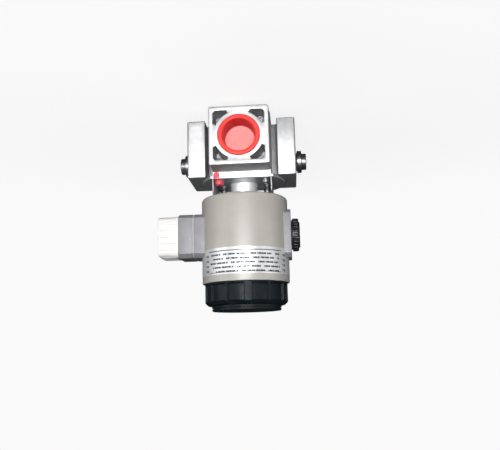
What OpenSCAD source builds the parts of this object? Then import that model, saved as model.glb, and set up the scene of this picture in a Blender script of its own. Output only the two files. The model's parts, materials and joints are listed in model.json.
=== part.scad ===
// Threaded gas solenoid valve with a round solenoid on top.
// Z = 0 is the underside of the bottom cover, +Z runs up the solenoid axis and gas flows along +Y.
// All sizes are millimetres.

/* [Overall] */
// Height of the port axis above the underside
port_z = 28; // [28:0.5:30]
// Height of the top of the lid above the port axis
top_up = 142; // [141:0.5:148]

/* [Body casting] */
// Width of the centre block, across the flow
block_w = 51; // [50:0.5:52]
// Depth of the body, along the flow
block_d = 50; // [49:0.5:52]
// Rise of the body's top face above the port axis
block_up = 29.2; // [29:0.2:30]
// Distance from the valve axis to a wing's inner face
wing_in = 30.8; // [30:0.1:32]
// Distance from the valve axis to a wing's outer face
wing_out = 46.5; // [45:0.25:48]
// Drop of the wings' underside below the port axis
wing_drop = 21.3; // [20:0.1:22]
// Depth of each slot between the centre block and a wing
slot_d = 16.5; // [14:0.5:17.5]
// Radius of the raised disc on the body's top face
disc_r = 36.5; // [34:0.5:38]
// Height of the raised disc
disc_t = 1.5; // [1:0.1:1.5]
// Thickness of the two upright cheeks beside the bonnet
cheek_t = 1.2; // [0.8:0.1:1.2]

/* [Port flanges] */
// Width and height of a port flange
flange_w = 50; // [50:0.5:52]
// Length of a port flange, along the flow
flange_l = 23; // [22:0.5:25]
// Wall radius of the port thread, Rp 1
thread_r = 15.15; // [15:0.05:15.2]
// Radius of the round boss around the port
boss_r = 20.9; // [20.9:0.1:21]
// Width of the rim around the corner pockets
rim_w = 3.7; // [3:0.1:3.7]
// Width of the webs between the corner pockets
web_w = 17; // [16:0.5:18]
// Depth of the corner pockets
pocket_d = 20; // [18:0.5:20]
// Distance of each flange screw from the port axis, across and up
flange_screw_at = 17.6; // [17.4:0.1:17.7]

/* [Inlet dust plug] */
// Radius of the plug's rim
plug_rim_r = 17.4; // [17:0.1:17.4]
// Inside radius of the plug's mouth
plug_mouth_r = 13.9; // [13:0.1:14.1]
// Inside radius of the plug's floor
plug_floor_r = 12.6; // [12:0.1:13]
// Depth of the cup inside the plug
plug_depth = 16.2; // [14:0.2:16.2]

/* [Guide tube and armature] */
// Outer radius of the guide tube
tube_r = 11.5; // [11.5:0.1:11.6]
// Radius of the armature
armature_r = 10.35; // [10.2:0.05:10.4]
// Lift of the armature and valve disc
lift = 6; // [4:0.5:6]
// Radius of the valve disc
disc_valve_r = 15; // [14.5:0.1:15.5]
// Inner radius of the valve seat
seat_r = 11.5; // [11:0.1:11.8]

/* [Solenoid] */
// Outer radius of the solenoid housing
can_r = 37.5; // [37:0.25:38.5]
// Height of the housing's lower face above the port axis
can_lo = 45; // [44.8:0.1:46]
// Height of the housing's upper edge above the port axis
can_hi = 118.8; // [118:0.1:119]
// Height of the connector and cable entry above the port axis
side_up = 77.5; // [76:0.5:79]
// Radius of the black top cap
cap_r = 35.4; // [35:0.1:35.4]
// Height of the top cap
cap_h = 18.7; // [18:0.1:19]
// Radius of the lid on the cap
lid_r = 29.8; // [28:0.1:31]

/* [Connector and plugs] */
// Height of the connector
conn_h = 37.8; // [36:0.2:39]
// Width of the connector, along the flow
conn_w = 34; // [32:0.5:36]
// Distance from the valve axis to the connector gasket
conn_in = 43; // [42:0.25:44]
// Distance from the valve axis to the connector's outer face
conn_out = 56.3; // [55:0.1:58]
// Distance from the valve axis to the end of the connector dust cap
dust_out = 74.2; // [72:0.2:76]
// Distance from the valve axis to the face of the cable entry boss
entry_face = 40.2; // [39:0.1:41]
// Radius of the black cable entry plug
entry_r = 14.3; // [13:0.1:15]
// Radius of a test point plug's collar
test_r = 9.8; // [9:0.1:10.5]
// Height of the test points above the port axis
test_up = 12; // [12:0.5:13]

/* [Hidden] */
$fn = 96;

// Small gap between the pieces of a running or push fit
run = 0.06;
// Overshoot of a cutting shape
eps = 1;

// Body levels
cover_t = port_z - flange_w / 2;
top_z = port_z + block_up;
bonnet_z = top_z - 1;
disc_top = top_z + disc_t;
wing_z = port_z - wing_drop;
cheek_top = port_z + can_lo - 1.7;

// Seat and chambers
deck_z = port_z + 8;
seat_out_r = 13.4;
seat_top = deck_z + 1.5;
lower_r = 12.6;
inlet_end = 15.4;
chamber_r = 18.5;
passage_r = 14;

// Bonnet
bonnet_t = 2.5;
bonnet_size = [47, 45];
bonnet_screw = [20, 18.4];
bonnet_hole = 7.5;
bonnet_top = bonnet_z + bonnet_t;
tube_top = port_z + 92;
core_lo = port_z + 70.5;
core_hi = port_z + 111;
stud_r = 6;
stud_top = port_z + 135;
armature_lo = bonnet_z + 5;
armature_hi = core_lo - lift - 0.3;
stem_r = 3;
spring_floor = armature_hi - 13;

// Solenoid levels
can_z = port_z + can_lo;
can_top = port_z + can_hi;
can_wall = 2;
side_z = port_z + side_up;
cap_top = can_top + cap_h;
lid_top = port_z + top_up;
yoke_t = 5.8;
coil_r = 23;
entry_w = 32;
entry_h = 41.4;
// bevel of the side blocks' long edges, along their height and along the flow
side_bevel = [3.4, 4.5];

// Connector screws: place along the flow and in height, shank and head radius, counterbore, grip in the base
conn_screw_at = [12.9, 14.9];
conn_screw_r = 1.25;
conn_head_r = 2.2;
conn_sink = 1.5;
conn_grip = 4;

// Dust plug and thread relief, measured from the flange face
mouth_r = 17.6;
mouth_d = 1.6;
plug_bottom = plug_depth + 1;
relief_at = plug_bottom + 0.1;
relief_l = 1;
relief_r = 16.6;
face_y = block_d / 2 + flange_l;

// M4 screws
m4 = 2;
m4_head = 3.5;
m4_head_h = 4;

cast = "gainsboro";
steel = "silver";
dark = [0.12, 0.13, 0.14];
warm_grey = [0.72, 0.70, 0.67];
lilac_grey = [0.62, 0.61, 0.65];
seal_grey = [0.75, 0.74, 0.73];

// ---- shared shapes ----

// Rectangle of w by h about the origin, with corners of radius r
module rounded_rect(w, h, r) {
    square([w - 2 * r, h], center = true);
    square([w, h - 2 * r], center = true);
    for (x = [-1, 1], y = [-1, 1])
        translate([x * (w / 2 - r), y * (h / 2 - r)]) circle(r = r);
}

// Rectangle of w by h about the origin, with corners cut off by bevel[0] along w and bevel[1] along h
module bevelled_rect(w, h, bevel) {
    x = w / 2;
    y = h / 2;
    polygon([[x - bevel[0], -y], [x, bevel[1] - y], [x, y - bevel[1]], [x - bevel[0], y],
        [bevel[0] - x, y], [-x, y - bevel[1]], [-x, bevel[1] - y], [bevel[0] - x, -y]]);
}

// Flat ring standing on z = 0
module ring(r_in, r_out, h) {
    difference() {
        cylinder(r = r_out, h = h);
        translate([0, 0, -eps]) cylinder(r = r_in, h = h + 2 * eps);
    }
}

// Lays a shape drawn in XY, rising along Z, so that it rises along +Y
module along_y() {
    rotate([-90, 0, 0]) children();
}

// Lays a shape drawn about Z so that it rises along +X
module along_x() {
    rotate([0, 90, 0]) children();
}

// Socket head screw, its head's underside at z = 0 and its shank downwards
module cap_screw(r, head_r, head_h, length) {
    difference() {
        union() {
            cylinder(r = head_r, h = head_h);
            translate([0, 0, -length]) cylinder(r = r, h = length);
        }
        translate([0, 0, head_h * 0.45]) cylinder(r = head_r * 0.5, h = head_h, $fn = 6);
    }
}

// Puts the children at the four corners of a rectangle
module at_corners(x, y) {
    for (sx = [-1, 1], sy = [-1, 1]) translate([sx * x, sy * y, 0]) children();
}

// ---- body and its covers ----

module body_blocks() {
    translate([-block_w / 2, -block_d / 2, cover_t]) cube([block_w, block_d, top_z - cover_t]);
    for (side = [0, 1]) mirror([side, 0, 0]) {
        translate([wing_in, -block_d / 2, wing_z]) cube([wing_out - wing_in, block_d, top_z - wing_z]);
        translate([block_w / 2 - 1, slot_d - block_d / 2, wing_z])
            cube([wing_in - block_w / 2 + 2, block_d - 2 * slot_d, top_z - wing_z]);
        translate([block_w / 2 - cheek_t, -block_d / 2 + 2, top_z])
            cube([cheek_t, block_d - 4, cheek_top - top_z]);
    }
    intersection() {
        translate([0, 0, top_z]) cylinder(r = disc_r, h = disc_t);
        translate([-disc_r, -block_d / 2, top_z]) cube([2 * disc_r, block_d, disc_t]);
    }
}

module body_passages() {
    // upper chamber, seat bore and lower chamber
    translate([0, 0, deck_z]) cylinder(r = chamber_r, h = disc_top - deck_z);
    translate([0, 0, deck_z - 5]) cylinder(r = seat_out_r, h = 6);
    translate([0, 0, cover_t - eps]) cylinder(r = lower_r, h = deck_z - cover_t);
    // inlet passage and its rise into the upper chamber
    translate([0, -block_d / 2 - eps, port_z]) along_y() cylinder(r = passage_r, h = block_d / 2 - inlet_end + eps);
    translate([-12, -20, port_z]) cube([24, 20 - inlet_end, deck_z - port_z + eps]);
    // outlet passage
    translate([0, 0, port_z]) along_y() cylinder(r = passage_r, h = block_d / 2 + eps);
    // recess that holds the strainer
    translate([0, -block_d / 2 - eps, port_z]) along_y() cylinder(r = 16, h = 1.2 + eps);
}

module body_holes() {
    for (side = [0, 1]) mirror([side, 0, 0]) {
        // test point: threaded hole in the wing, then a narrow way into the chamber
        translate([wing_out - 13, 0, port_z + test_up]) along_x() cylinder(r = 5.9, h = 13 + eps);
        translate([chamber_r - 3, 0, port_z + test_up]) along_x() cylinder(r = 1.5, h = wing_out - chamber_r);
        // hollow under the wing
        translate([wing_in + 3, -block_d / 2 + 3, wing_z - eps])
            cube([wing_out - wing_in - 6, block_d - 6, 20 + eps]);
    }
    for (end = [0, 1]) mirror([0, end, 0])
        translate([0, block_d / 2 - 9.5, port_z]) along_y()
            at_corners(flange_screw_at, flange_screw_at) cylinder(r = m4 + run, h = 9.5 + eps);
    translate([0, 0, bonnet_z - bonnet_hole]) at_corners(bonnet_screw[0], bonnet_screw[1])
        cylinder(r = m4 + run, h = bonnet_hole + eps);
    translate([0, 0, cover_t - eps]) at_corners(21.2, 8.5) cylinder(r = 1.5 + run, h = 8 + eps);
    // shallow pocket that locates the bonnet
    translate([0, 0, bonnet_z]) linear_extrude(disc_t + 1 + eps)
        rounded_rect(bonnet_size[0] + 0.3, bonnet_size[1] + 0.3, 3);
    // groove of the bonnet seal
    translate([0, 0, bonnet_z - 1.8]) ring(19.2, 21.4, 1.8 + eps);
    // groove of the bottom seal
    translate([0, 0, cover_t - eps]) ring(14.2, 16.6, 1.8 + eps);
}

module valve_body() {
    color(cast) difference() {
        body_blocks();
        body_passages();
        body_holes();
    }
}

module bottom_cover() {
    color(cast) difference() {
        linear_extrude(cover_t) rounded_rect(block_w, block_d, 2);
        at_corners(21.2, 8.5) {
            translate([0, 0, -eps]) cylinder(r = 1.7, h = cover_t + 2 * eps);
            cylinder(r1 = 3.2, r2 = 1.7, h = 1.5);
        }
    }
}

module bottom_cover_seal() {
    color("black") translate([0, 0, cover_t]) ring(14.3, 16.5, 1.7);
}

module bottom_cover_screws() {
    color(steel) at_corners(21.2, 8.5) difference() {
        union() {
            cylinder(r1 = 3.1, r2 = 1.5, h = 1.5);
            cylinder(r = 1.5, h = 9);
        }
        translate([0, 0, -eps]) cylinder(r = 1, h = 1 + eps, $fn = 6);
    }
}

module seat_ring() {
    color("goldenrod") difference() {
        union() {
            translate([0, 0, deck_z - 5]) cylinder(r = seat_out_r - run, h = 5);
            translate([0, 0, deck_z]) cylinder(r = seat_r + 1.2, h = seat_top - deck_z);
        }
        translate([0, 0, deck_z - 5 - eps]) cylinder(r = seat_r, h = 10);
    }
}

// ---- port flanges ----

module corner_pocket() {
    side = flange_w / 2 - rim_w;
    difference() {
        translate([web_w / 2, web_w / 2]) square(side - web_w / 2);
        translate([side - 3, side - 3]) difference() {
            square(3 + eps);
            circle(r = 3);
        }
        circle(r = boss_r);
    }
}

// Flange with its outer face at z = 0 and its body face at z = -flange_l
module port_flange() {
    difference() {
        translate([0, 0, -flange_l]) linear_extrude(flange_l) rounded_rect(flange_w, flange_w, 1.5);
        translate([0, 0, -flange_l - eps]) cylinder(r = thread_r, h = flange_l + 2 * eps);
        translate([0, 0, -mouth_d]) cylinder(r = mouth_r, h = mouth_d + eps);
        translate([0, 0, -relief_at - relief_l]) cylinder(r = relief_r, h = relief_l);
        for (a = [0 : 90 : 270]) rotate(a)
            translate([0, 0, -pocket_d]) linear_extrude(pocket_d + eps) corner_pocket();
        translate([0, 0, -flange_l - eps]) at_corners(flange_screw_at, flange_screw_at)
            cylinder(r = m4 + 0.2, h = flange_l);
        translate([0, 0, -flange_l - eps]) ring(17, 19.6, 2 + eps);
    }
}

module port_flange_seal() {
    translate([0, 0, -flange_l]) ring(17.1, 19.5, 1.95);
}

module port_flange_screws() {
    translate([0, 0, -pocket_d]) at_corners(flange_screw_at, flange_screw_at)
        cap_screw(m4, m4_head, m4_head_h, 11);
}

// Puts the children, drawn with z outwards, on the inlet (-1) or outlet (1) face
module at_port(dir) {
    translate([0, dir * face_y, port_z]) rotate([-90 * dir, 0, 0]) children();
}

module inlet_flange() { color(cast) at_port(-1) port_flange(); }
module outlet_flange() { color(cast) at_port(1) port_flange(); }
module inlet_flange_seal() { color("black") at_port(-1) port_flange_seal(); }
module outlet_flange_seal() { color("black") at_port(1) port_flange_seal(); }
module inlet_flange_screws() { color(steel) at_port(-1) port_flange_screws(); }
module outlet_flange_screws() { color(steel) at_port(1) port_flange_screws(); }

// Perforated disc across the inlet passage
module inlet_strainer() {
    pitch = 3;
    rows = 3;
    color(steel) translate([0, -block_d / 2 + 0.2, port_z]) along_y() difference() {
        cylinder(r = 15.8, h = 0.9);
        for (i = [-rows : rows], j = [-rows : rows])
            translate([i * pitch, j * pitch, -eps]) cylinder(r = 1.05, h = 3);
    }
}

// ---- bonnet, guide tube and fixed core ----

module bonnet_seal() {
    color("black") translate([0, 0, bonnet_z - 1.8]) ring(19.3, 21.3, 1.75);
}

module guide_tube() {
    color("lightgrey") difference() {
        union() {
            translate([0, 0, bonnet_z]) linear_extrude(bonnet_t) rounded_rect(bonnet_size[0], bonnet_size[1], 3);
            translate([0, 0, bonnet_z]) cylinder(r = tube_r, h = tube_top - bonnet_z);
        }
        translate([0, 0, bonnet_z - eps]) cylinder(r = tube_r - 1, h = tube_top);
        translate([0, 0, bonnet_z - eps]) at_corners(bonnet_screw[0], bonnet_screw[1])
            cylinder(r = m4 + 0.2, h = 8);
    }
}

module bonnet_screws() {
    color(steel) translate([0, 0, bonnet_top]) at_corners(bonnet_screw[0], bonnet_screw[1])
        cap_screw(m4, m4_head - 0.1, m4_head_h, bonnet_hole + bonnet_t - 0.5);
}

// Red seal over one bonnet screw, with a tongue that runs over the body's inlet edge
module screw_seal_cap() {
    wall = 0.4;
    tongue_w = 5.4;
    tongue_t = 0.5;
    tongue_x = bonnet_screw[0] + 1.5;
    tongue_end = bonnet_top - 5.6;
    edge_y = -block_d / 2;
    color("crimson") {
        translate([bonnet_screw[0], -bonnet_screw[1], bonnet_top]) difference() {
            union() {
                cylinder(r = m4_head + wall, h = m4_head_h);
                translate([0, 0, m4_head_h]) cylinder(r1 = m4_head + wall, r2 = m4_head - 0.6, h = 1);
            }
            translate([0, 0, -eps]) cylinder(r = m4_head - 0.05, h = m4_head_h + eps + 0.1);
        }
        translate([tongue_x - tongue_w / 2, edge_y - tongue_t, bonnet_top])
            cube([tongue_w, 3 + tongue_t, tongue_t]);
        translate([tongue_x, edge_y, tongue_end + tongue_w / 2]) rotate([90, 0, 0]) linear_extrude(tongue_t) {
            translate([-tongue_w / 2, 0]) square([tongue_w, bonnet_top + tongue_t - tongue_end - tongue_w / 2]);
            circle(r = tongue_w / 2);
        }
    }
}

// Fixed core: it closes the guide tube and carries the stud that holds the solenoid
module pole_core() {
    color(steel) difference() {
        union() {
            translate([0, 0, core_lo]) cylinder(r = tube_r - 1 - run, h = core_hi - core_lo);
            translate([0, 0, core_hi]) cylinder(r = stud_r, h = stud_top - core_hi);
        }
        // shading ring groove in the lower face
        translate([0, 0, core_lo - eps]) ring(7, 8.2, 1.2 + eps);
    }
}

module coil_nut() {
    color(steel) translate([0, 0, core_hi + yoke_t]) difference() {
        cylinder(r = 10.4, h = 6, $fn = 6);
        translate([0, 0, -eps]) cylinder(r = stud_r + run, h = 6 + 2 * eps);
    }
}

// ---- moving valve parts ----

module armature() {
    color(steel) difference() {
        translate([0, 0, armature_lo]) cylinder(r = armature_r, h = armature_hi - armature_lo);
        translate([0, 0, spring_floor]) cylinder(r = 5.6, h = 20);
        translate([0, 0, armature_lo - eps]) cylinder(r = stem_r + run, h = 8 + eps);
        // two flats that let gas pass as the armature moves
        for (s = [-1, 1]) translate([s * 11.6, 0, armature_lo - eps])
            linear_extrude(armature_hi - armature_lo + 2 * eps) square([4, 20], center = true);
    }
}

module valve_stem() {
    color(steel) translate([0, 0, seat_top - 4]) cylinder(r = stem_r, h = armature_lo + 8 - seat_top + 4);
}

module valve_disc() {
    color("gainsboro") translate([0, 0, seat_top]) difference() {
        union() {
            cylinder(r = disc_valve_r, h = 4.5);
            translate([0, 0, 4.5]) cylinder(r = 6, h = 3);
        }
        translate([0, 0, -eps]) cylinder(r = stem_r + run, h = 12);
        translate([0, 0, -eps]) ring(seat_r - 2, seat_r + 2.6, 2 + eps);
    }
}

module disc_seal() {
    color("black") translate([0, 0, seat_top]) ring(seat_r - 1.9, seat_r + 2.5, 1.95);
}

module disc_nut() {
    color(steel) translate([0, 0, seat_top - 3.2]) difference() {
        cylinder(r = 5.6, h = 3.2, $fn = 6);
        translate([0, 0, -eps]) cylinder(r = stem_r + run, h = 6);
    }
}

// Sleeve of the spring's outer and inner size, from the armature's pocket to the fixed core
module closing_spring() {
    color("dimgrey") translate([0, 0, spring_floor]) ring(4.2, 5.3, core_lo - spring_floor);
}

// ---- solenoid ----

// Block that stands out from the housing towards +X, from x0 to x1
module side_block(x0, x1, w, h, r) {
    translate([x0, 0, side_z]) along_x() linear_extrude(x1 - x0) rounded_rect(h, w, r);
}

// The same, with bevelled long edges
module bevelled_block(x0, x1, w, h) {
    translate([x0, 0, side_z]) along_x() linear_extrude(x1 - x0) bevelled_rect(h, w, side_bevel);
}

module solenoid_housing() {
    corner = 2.5;
    color(warm_grey) difference() {
        union() {
            translate([0, 0, can_z + corner]) cylinder(r = can_r, h = can_top - can_z - corner);
            rotate_extrude() {
                translate([0, can_z]) square([can_r - corner, 2 * corner]);
                translate([can_r - corner, can_z + corner]) circle(r = corner);
            }
        }
        translate([0, 0, can_z + can_wall]) cylinder(r = can_r - can_wall, h = can_top);
        translate([0, 0, can_z - eps]) cylinder(r = tube_r + 0.4, h = 10);
        // cable entry
        translate([-entry_face - eps, 0, side_z]) along_x() cylinder(r = 10, h = 9 + eps);
        // way from the coil to the connector
        translate([can_r - 6, -10, side_z - 10]) cube([10, 20, 20]);
    }
}

module lower_yoke_plate() {
    color("grey") translate([0, 0, can_z + can_wall]) ring(tube_r + 0.4, can_r - can_wall - 0.1, 4);
}

module upper_yoke_plate() {
    color("grey") translate([0, 0, core_hi]) ring(stud_r + 0.4, can_r - can_wall - 0.1, yoke_t);
}

module coil_bobbin() {
    lo = can_z + can_wall + 4;
    color("black") {
        translate([0, 0, lo]) ring(tube_r + 0.5, 13.4, core_hi - lo);
        translate([0, 0, lo]) ring(13, coil_r, 2);
        translate([0, 0, core_hi - 2]) ring(13, coil_r, 2);
    }
}

module coil_winding() {
    lo = can_z + can_wall + 6;
    color("peru") translate([0, 0, lo]) ring(13.4, coil_r - 0.6, core_hi - 2 - lo);
}

// Plastic moulded round the coil, filling the housing between the yoke plates
module coil_encapsulation() {
    lo = can_z + can_wall + 4;
    color(lilac_grey) translate([0, 0, lo]) ring(coil_r + 0.1, can_r - can_wall - 0.1, core_hi - lo);
}

module housing_cover() {
    lo = core_hi + yoke_t;
    color("dimgrey") translate([0, 0, lo]) ring(11, can_r - can_wall - 0.1, can_top - lo);
}

// Foil label round the front of the housing
module type_label() {
    color("whitesmoke") difference() {
        rotate([0, 0, 150]) rotate_extrude(angle = 240)
            translate([can_r, port_z + 91.2]) square([0.2, 21.9]);
        side_block(can_r - 10, conn_in, conn_w + 1, conn_h + 1, 2);
        mirror([1, 0, 0]) side_block(can_r - 10, entry_face, entry_w + 1, entry_h + 1, 2);
    }
}

// Lugs of the coil's plastic come out through the housing on both sides
module side_lug(x1, w, h) {
    difference() {
        bevelled_block(can_r - 8, x1, w, h);
        translate([0, 0, can_z]) cylinder(r = can_r, h = 100);
    }
}

module entry_boss() {
    color(lilac_grey) mirror([1, 0, 0]) difference() {
        side_lug(entry_face, entry_w, entry_h);
        translate([can_r - 8, 0, side_z]) along_x() cylinder(r = 10, h = 20);
    }
}

module connector_base() {
    color(lilac_grey) difference() {
        side_lug(conn_in, conn_w, conn_h);
        translate([can_r - 8, -12, side_z - 13]) cube([15, 24, 26]);
        translate([conn_in - conn_grip, 0, side_z]) connector_screw_places() along_x()
            cylinder(r = conn_screw_r + run, h = conn_grip + eps);
    }
}

module connector_gasket() {
    color(seal_grey) difference() {
        bevelled_block(conn_in, conn_in + 0.8, conn_w - 0.8, conn_h - 0.8);
        side_block(conn_in - eps, conn_in + 2, conn_w - 12, conn_h - 12, 2);
        translate([conn_in - eps, 0, side_z]) connector_screw_places() along_x()
            cylinder(r = conn_screw_r + 0.1, h = 3);
    }
}

module connector_housing() {
    color(lilac_grey) difference() {
        union() {
            bevelled_block(conn_in + 0.8, conn_out, conn_w, conn_h);
            side_block(conn_out - eps, conn_out + 9, 26, 26, 3);
        }
        // room for the rectifier board
        side_block(conn_in, conn_out - 5, conn_w - 12, conn_h - 12, 1.5);
        // shroud round the contacts
        side_block(conn_out - 2, conn_out + 12, 22, 22, 2);
        // slots for the contacts
        translate([conn_out - 8, 0, side_z]) contact_places() cube([12, 6.6, 1.2], center = true);
        // screw holes with counterbores
        translate([conn_in, 0, side_z]) connector_screw_places() along_x() {
            cylinder(r = conn_screw_r + 0.1, h = 20);
            translate([0, 0, conn_out - conn_in - conn_sink]) cylinder(r = conn_head_r + 0.1, h = conn_sink + eps);
        }
    }
}

// Four contact tabs: three flat ones and one turned upright
module contact_places() {
    for (a = [0, 90, 180, 270]) rotate([a, 0, 0]) translate([0, 0, 6.5]) children();
}

module contact_pins() {
    color("goldenrod") translate([conn_out + 0.5, 0, side_z]) contact_places()
        cube([15, 6.3, 0.8], center = true);
}

module connector_screw_places() {
    for (y = [-1, 1], z = [-1, 1]) translate([0, y * conn_screw_at[0], z * conn_screw_at[1]]) children();
}

module connector_screws() {
    color(steel) translate([conn_out - conn_sink, 0, side_z]) connector_screw_places() along_x()
        cap_screw(conn_screw_r, conn_head_r, conn_sink - 0.1,
            conn_out - conn_sink - conn_in + conn_grip - 0.5);
}

module rectifier_board() {
    color("seagreen") translate([conn_in + 2, 0, side_z]) along_x() {
        linear_extrude(1.6) square([24, 20], center = true);
        translate([-6, -5, 1.6]) cube([6, 10, 2]);
    }
}

// Translucent cover pushed over the connector's shroud
module connector_dust_cap() {
    color("white", 0.6) difference() {
        side_block(conn_out + 0.1, dust_out, 31.6, 35.6, 4);
        side_block(conn_out, dust_out - 1.4, 31.6 - 2.6, 35.6 - 2.6, 3);
    }
}

// ---- top cap ----

module cap_seal() {
    color("black") translate([0, 0, can_top + run]) ring(30.2, 32.7, 1.3);
}

// Cap panels lie between ribs: a broad rib every 90 degrees and two narrow ones between
module cap_panel(from, to) {
    rotate([0, 0, from]) rotate_extrude(angle = to - from)
        translate([cap_r - 1.8, can_top + 1]) square([4, cap_h - 3.6]);
}

module top_cap() {
    edge = 2.6;
    broad = 4.8;
    narrow = 1.7;
    phase = -6.5;
    color(dark) difference() {
        rotate_extrude() polygon([[0, can_top + run], [cap_r, can_top + run], [cap_r, cap_top - edge],
            [cap_r - edge, cap_top], [0, cap_top]]);
        for (q = [phase : 90 : phase + 270]) {
            cap_panel(q + broad, q + 30 - narrow);
            cap_panel(q + 30 + narrow, q + 60 - narrow);
            cap_panel(q + 60 + narrow, q + 90 - broad);
        }
        // rebate for the seal
        translate([0, 0, can_top - eps]) cylinder(r = 32.9, h = eps + 1.5);
        // hollow under the top, with a hub in the middle
        difference() {
            translate([0, 0, can_top - eps]) cylinder(r = 29.5, h = cap_h + eps - 3);
            translate([0, 0, can_top + 6]) cylinder(r = 10, h = cap_h);
        }
        translate([0, 0, can_top]) cylinder(r = stud_r + run, h = stud_top + 0.6 - can_top);
        // seat of the lid
        translate([0, 0, cap_top - 1]) cylinder(r = 26, h = 2);
    }
}

module cap_lid() {
    h = lid_top - cap_top;
    color(dark) union() {
        translate([0, 0, cap_top - 1]) cylinder(r = 26 - run, h = 1.5);
        translate([0, 0, cap_top]) cylinder(r = lid_r, h = h * 0.42);
        translate([0, 0, cap_top]) cylinder(r = lid_r - 0.8, h = h * 0.6);
        translate([0, 0, cap_top + h * 0.55]) cylinder(r = lid_r - 0.2, h = h * 0.25);
        translate([0, 0, cap_top + h * 0.8]) cylinder(r1 = lid_r - 0.2, r2 = lid_r - 1.2, h = h * 0.2);
    }
}

// ---- screw plugs ----

// Cable entry plug, drawn with z outwards from the housing's face
module cable_plug_seal() {
    color("black") mirror([1, 0, 0]) translate([entry_face + run, 0, side_z]) along_x()
        ring(10.2, 13, 0.9);
}

module cable_entry_plug() {
    color(dark) mirror([1, 0, 0]) translate([entry_face + 1, 0, side_z]) along_x() difference() {
        union() {
            translate([0, 0, -5]) cylinder(r = 9.92, h = 5 + eps);
            cylinder(r = entry_r, h = 4.6);
            translate([0, 0, 4.6]) cylinder(r1 = entry_r, r2 = entry_r - 1, h = 0.8);
            cylinder(r = 11.2, h = 6.4);
        }
        translate([0, 0, -5 - eps]) cylinder(r = 7, h = 6);
        translate([-7.5, -1.2, 4.6]) cube([15, 2.4, 3]);
    }
}

// Test point plug and seal, drawn with z outwards from the wing's face
module test_plug_seal() {
    translate([wing_out + run, 0, port_z + test_up]) along_x() ring(6.1, 8, 0.9);
}

module test_plug() {
    translate([wing_out + 1, 0, port_z + test_up]) along_x() difference() {
        union() {
            translate([0, 0, -10]) cylinder(r = 5.9 - run, h = 10 + eps);
            cylinder(r = test_r, h = 3.4);
            translate([0, 0, 3.4]) cylinder(r1 = test_r, r2 = test_r - 0.6, h = 0.6);
            cylinder(r = 7.2, h = 7.5);
            translate([0, 0, 7.5]) cylinder(r1 = 7.2, r2 = 6.6, h = 0.6);
        }
        translate([0, 0, 3.5]) cylinder(r = 3.4, h = 6, $fn = 6);
    }
}

module test_seal_left() { color("black") test_plug_seal(); }
module test_plug_left() { color(steel) test_plug(); }
module test_seal_right() { color("black") mirror([1, 0, 0]) test_plug_seal(); }
module test_plug_right() { color(steel) mirror([1, 0, 0]) test_plug(); }

// Red cup pushed into the inlet port, drawn with z outwards from the flange face
module inlet_dust_plug() {
    lip = 1;
    color("red") at_port(-1) rotate_extrude() polygon([[0, -plug_bottom], [plug_floor_r + 1.2, -plug_bottom],
        [thread_r - run - 0.04, -mouth_d - 2], [thread_r - run - 0.04, -mouth_d + run],
        [plug_rim_r, -mouth_d + run], [plug_rim_r, lip - 0.4], [plug_rim_r - 0.4, lip], [plug_mouth_r + 0.5, lip],
        [plug_mouth_r, lip - 0.5], [plug_floor_r, -plug_depth], [0, -plug_depth]]);
}

valve_body();
inlet_flange();
outlet_flange();
inlet_flange_seal();
outlet_flange_seal();
inlet_flange_screws();
outlet_flange_screws();
inlet_strainer();
bottom_cover();
bottom_cover_seal();
bottom_cover_screws();
seat_ring();
bonnet_seal();
guide_tube();
bonnet_screws();
screw_seal_cap();
pole_core();
coil_nut();
armature();
valve_stem();
valve_disc();
disc_seal();
disc_nut();
closing_spring();
solenoid_housing();
lower_yoke_plate();
upper_yoke_plate();
coil_bobbin();
coil_winding();
coil_encapsulation();
housing_cover();
type_label();
entry_boss();
connector_base();
connector_gasket();
connector_housing();
contact_pins();
connector_screws();
rectifier_board();
connector_dust_cap();
cap_seal();
top_cap();
cap_lid();
cable_plug_seal();
cable_entry_plug();
test_seal_left();
test_plug_left();
test_seal_right();
test_plug_right();
inlet_dust_plug();
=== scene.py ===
import json
import math

import bmesh
import bpy
from mathutils import Matrix, Vector
from mathutils.geometry import tessellate_polygon


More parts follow.
